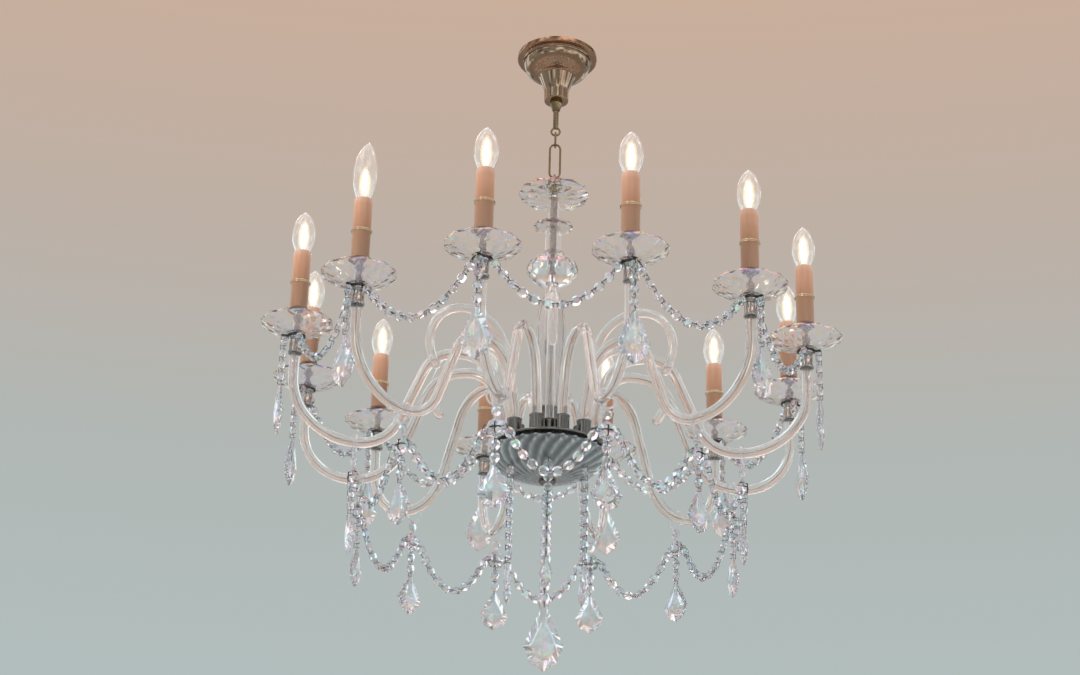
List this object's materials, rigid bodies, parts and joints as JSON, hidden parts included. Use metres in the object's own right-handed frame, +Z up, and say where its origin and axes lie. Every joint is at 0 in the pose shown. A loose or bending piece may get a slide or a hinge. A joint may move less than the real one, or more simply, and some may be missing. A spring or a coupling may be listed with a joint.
{
  "type": "crystal chandelier",
  "caption": "Tiered ring of S-curved glass arms with candle lights, drip dishes, crystal swags and drops, hung by a short chain from a ceiling canopy.",
  "frame": {"origin": "middle of the ceiling bracket's upper face, where it meets the ceiling", "axes": "+Z up, away from the hanging chandelier; -Y is the front; the bracket's screws lie along X"},
  "size_m": [0.8374, 0.8374, 0.9992],
  "materials": {
    "plated_steel": "zinc-plated steel",
    "bronzed_steel": "antique bronze plating",
    "chrome": "polished chrome",
    "dark_nickel": "polished dark nickel",
    "gilt_metal": "polished pale brass",
    "cut_glass": "clear cut glass",
    "clear_glass": "clear drawn glass",
    "bowl_glass": "swirl-cut pressed glass",
    "crystal": "polished crystal",
    "bulb_glass": "clear bulb glass",
    "candle_plastic": "ivory candle tube",
    "holder_plastic": "white lamp holder"
  },
  "bodies": {
    "ceiling_mount": {"ceiling_bracket": "plated_steel", "shank": "bronzed_steel", "shank_nut": "gilt_metal"},
    "canopy": {"canopy": "chrome", "canopy_cap": "chrome"},
    "small_link": {"chain_link_small": "bronzed_steel"},
    "long_link": {"chain_link_long": "bronzed_steel"},
    "chandelier": {"stem_loop": "bronzed_steel", "stem_rod": "bronzed_steel", "top_dish": "cut_glass", "column_discs": "cut_glass", "column_tubes": "clear_glass", "column_ball": "cut_glass", "column_baluster": "clear_glass", "rod_coupler": "dark_nickel", "hub": "dark_nickel", "receiver_plate": "dark_nickel", "arm_sockets": "dark_nickel", "crooks": "clear_glass", "bowl": "bowl_glass", "bowl_nut": "dark_nickel", "arms": "clear_glass", "candle_cups": "dark_nickel", "bobeches": "cut_glass", "spindles": "clear_glass", "candle_sleeves": "candle_plastic", "lamp_holders": "holder_plastic", "bulbs": "bulb_glass", "upper_swags": "crystal", "lower_swags": "crystal", "rosettes": "crystal", "arm_rings": "crystal", "bowl_strands": "crystal"},
    "centre_pendant": {"centre_pendant": "crystal"},
    "upper_pendant_01": {"upper_pendant_01": "crystal"},
    "lower_pendant_01": {"lower_pendant_01": "crystal"},
    "upper_pendant_02": {"upper_pendant_02": "crystal"},
    "lower_pendant_02": {"lower_pendant_02": "crystal"},
    "upper_pendant_03": {"upper_pendant_03": "crystal"},
    "lower_pendant_03": {"lower_pendant_03": "crystal"},
    "upper_pendant_04": {"upper_pendant_04": "crystal"},
    "lower_pendant_04": {"lower_pendant_04": "crystal"},
    "upper_pendant_05": {"upper_pendant_05": "crystal"},
    "lower_pendant_05": {"lower_pendant_05": "crystal"},
    "upper_pendant_06": {"upper_pendant_06": "crystal"},
    "lower_pendant_06": {"lower_pendant_06": "crystal"},
    "upper_pendant_07": {"upper_pendant_07": "crystal"},
    "lower_pendant_07": {"lower_pendant_07": "crystal"},
    "upper_pendant_08": {"upper_pendant_08": "crystal"},
    "lower_pendant_08": {"lower_pendant_08": "crystal"},
    "upper_pendant_09": {"upper_pendant_09": "crystal"},
    "lower_pendant_09": {"lower_pendant_09": "crystal"},
    "upper_pendant_10": {"upper_pendant_10": "crystal"},
    "lower_pendant_10": {"lower_pendant_10": "crystal"},
    "upper_pendant_11": {"upper_pendant_11": "crystal"},
    "lower_pendant_11": {"lower_pendant_11": "crystal"},
    "upper_pendant_12": {"upper_pendant_12": "crystal"},
    "lower_pendant_12": {"lower_pendant_12": "crystal"}
  },
  "joints": [
    {"name": "canopy_slide", "type": "slide", "parent": "ceiling_mount", "child": "canopy", "axis": [0, 0, -1], "range_m": [0, 0.024]},
    {"name": "small_link_swing", "type": "hinge", "parent": "ceiling_mount", "child": "small_link", "pos_m": [0, 0, -0.1422], "axis": [1, 0, 0], "range_deg": [-12, 12]},
    {"name": "long_link_swing", "type": "hinge", "parent": "small_link", "child": "long_link", "pos_m": [0, 0, -0.1625], "axis": [0, 1, 0], "range_deg": [-12, 12]},
    {"name": "chandelier_swing", "type": "hinge", "parent": "long_link", "child": "chandelier", "pos_m": [0, 0, -0.2168], "axis": [1, 0, 0], "range_deg": [-12, 12]},
    {"name": "centre_pendant_swing", "type": "hinge", "parent": "chandelier", "child": "centre_pendant", "pos_m": [0, 0, -0.7245], "axis": [0, 1, 0], "range_deg": [-10, 10]},
    {"name": "upper_pendant_01_swing", "type": "hinge", "parent": "chandelier", "child": "upper_pendant_01", "pos_m": [0.10288, -0.38396, -0.543], "axis": [0.2588, -0.9659, 0], "range_deg": [-15, 15]},
    {"name": "lower_pendant_01_swing", "type": "hinge", "parent": "chandelier", "child": "lower_pendant_01", "pos_m": [0.07376, -0.27529, -0.75987], "axis": [0.2588, -0.9659, 0], "range_deg": [-15, 15]},
    {"name": "upper_pendant_02_swing", "type": "hinge", "parent": "chandelier", "child": "upper_pendant_02", "pos_m": [0.28108, -0.28108, -0.543], "axis": [0.7071, -0.7071, 0], "range_deg": [-15, 15]},
    {"name": "lower_pendant_02_swing", "type": "hinge", "parent": "chandelier", "child": "lower_pendant_02", "pos_m": [0.20153, -0.20153, -0.75987], "axis": [0.7071, -0.7071, 0], "range_deg": [-15, 15]},
    {"name": "upper_pendant_03_swing", "type": "hinge", "parent": "chandelier", "child": "upper_pendant_03", "pos_m": [0.38396, -0.10288, -0.543], "axis": [0.9659, -0.2588, 0], "range_deg": [-15, 15]},
    {"name": "lower_pendant_03_swing", "type": "hinge", "parent": "chandelier", "child": "lower_pendant_03", "pos_m": [0.27529, -0.07376, -0.75987], "axis": [0.9659, -0.2588, 0], "range_deg": [-15, 15]},
    {"name": "upper_pendant_04_swing", "type": "hinge", "parent": "chandelier", "child": "upper_pendant_04", "pos_m": [0.38396, 0.10288, -0.543], "axis": [0.9659, 0.2588, 0], "range_deg": [-15, 15]},
    {"name": "lower_pendant_04_swing", "type": "hinge", "parent": "chandelier", "child": "lower_pendant_04", "pos_m": [0.27529, 0.07376, -0.75987], "axis": [0.9659, 0.2588, 0], "range_deg": [-15, 15]},
    {"name": "upper_pendant_05_swing", "type": "hinge", "parent": "chandelier", "child": "upper_pendant_05", "pos_m": [0.28108, 0.28108, -0.543], "axis": [0.7071, 0.7071, 0], "range_deg": [-15, 15]},
    {"name": "lower_pendant_05_swing", "type": "hinge", "parent": "chandelier", "child": "lower_pendant_05", "pos_m": [0.20153, 0.20153, -0.75987], "axis": [0.7071, 0.7071, 0], "range_deg": [-15, 15]},
    {"name": "upper_pendant_06_swing", "type": "hinge", "parent": "chandelier", "child": "upper_pendant_06", "pos_m": [0.10288, 0.38396, -0.543], "axis": [0.2588, 0.9659, 0], "range_deg": [-15, 15]},
    {"name": "lower_pendant_06_swing", "type": "hinge", "parent": "chandelier", "child": "lower_pendant_06", "pos_m": [0.07376, 0.27529, -0.75987], "axis": [0.2588, 0.9659, 0], "range_deg": [-15, 15]},
    {"name": "upper_pendant_07_swing", "type": "hinge", "parent": "chandelier", "child": "upper_pendant_07", "pos_m": [-0.10288, 0.38396, -0.543], "axis": [-0.2588, 0.9659, 0], "range_deg": [-15, 15]},
    {"name": "lower_pendant_07_swing", "type": "hinge", "parent": "chandelier", "child": "lower_pendant_07", "pos_m": [-0.07376, 0.27529, -0.75987], "axis": [-0.2588, 0.9659, 0], "range_deg": [-15, 15]},
    {"name": "upper_pendant_08_swing", "type": "hinge", "parent": "chandelier", "child": "upper_pendant_08", "pos_m": [-0.28108, 0.28108, -0.543], "axis": [-0.7071, 0.7071, 0], "range_deg": [-15, 15]},
    {"name": "lower_pendant_08_swing", "type": "hinge", "parent": "chandelier", "child": "lower_pendant_08", "pos_m": [-0.20153, 0.20153, -0.75987], "axis": [-0.7071, 0.7071, 0], "range_deg": [-15, 15]},
    {"name": "upper_pendant_09_swing", "type": "hinge", "parent": "chandelier", "child": "upper_pendant_09", "pos_m": [-0.38396, 0.10288, -0.543], "axis": [-0.9659, 0.2588, 0], "range_deg": [-15, 15]},
    {"name": "lower_pendant_09_swing", "type": "hinge", "parent": "chandelier", "child": "lower_pendant_09", "pos_m": [-0.27529, 0.07376, -0.75987], "axis": [-0.9659, 0.2588, 0], "range_deg": [-15, 15]},
    {"name": "upper_pendant_10_swing", "type": "hinge", "parent": "chandelier", "child": "upper_pendant_10", "pos_m": [-0.38396, -0.10288, -0.543], "axis": [-0.9659, -0.2588, 0], "range_deg": [-15, 15]},
    {"name": "lower_pendant_10_swing", "type": "hinge", "parent": "chandelier", "child": "lower_pendant_10", "pos_m": [-0.27529, -0.07376, -0.75987], "axis": [-0.9659, -0.2588, 0], "range_deg": [-15, 15]},
    {"name": "upper_pendant_11_swing", "type": "hinge", "parent": "chandelier", "child": "upper_pendant_11", "pos_m": [-0.28108, -0.28108, -0.543], "axis": [-0.7071, -0.7071, 0], "range_deg": [-15, 15]},
    {"name": "lower_pendant_11_swing", "type": "hinge", "parent": "chandelier", "child": "lower_pendant_11", "pos_m": [-0.20153, -0.20153, -0.75987], "axis": [-0.7071, -0.7071, 0], "range_deg": [-15, 15]},
    {"name": "upper_pendant_12_swing", "type": "hinge", "parent": "chandelier", "child": "upper_pendant_12", "pos_m": [-0.10288, -0.38396, -0.543], "axis": [-0.2588, -0.9659, 0], "range_deg": [-15, 15]},
    {"name": "lower_pendant_12_swing", "type": "hinge", "parent": "chandelier", "child": "lower_pendant_12", "pos_m": [-0.07376, -0.27529, -0.75987], "axis": [-0.2588, -0.9659, 0], "range_deg": [-15, 15]}
  ]
}
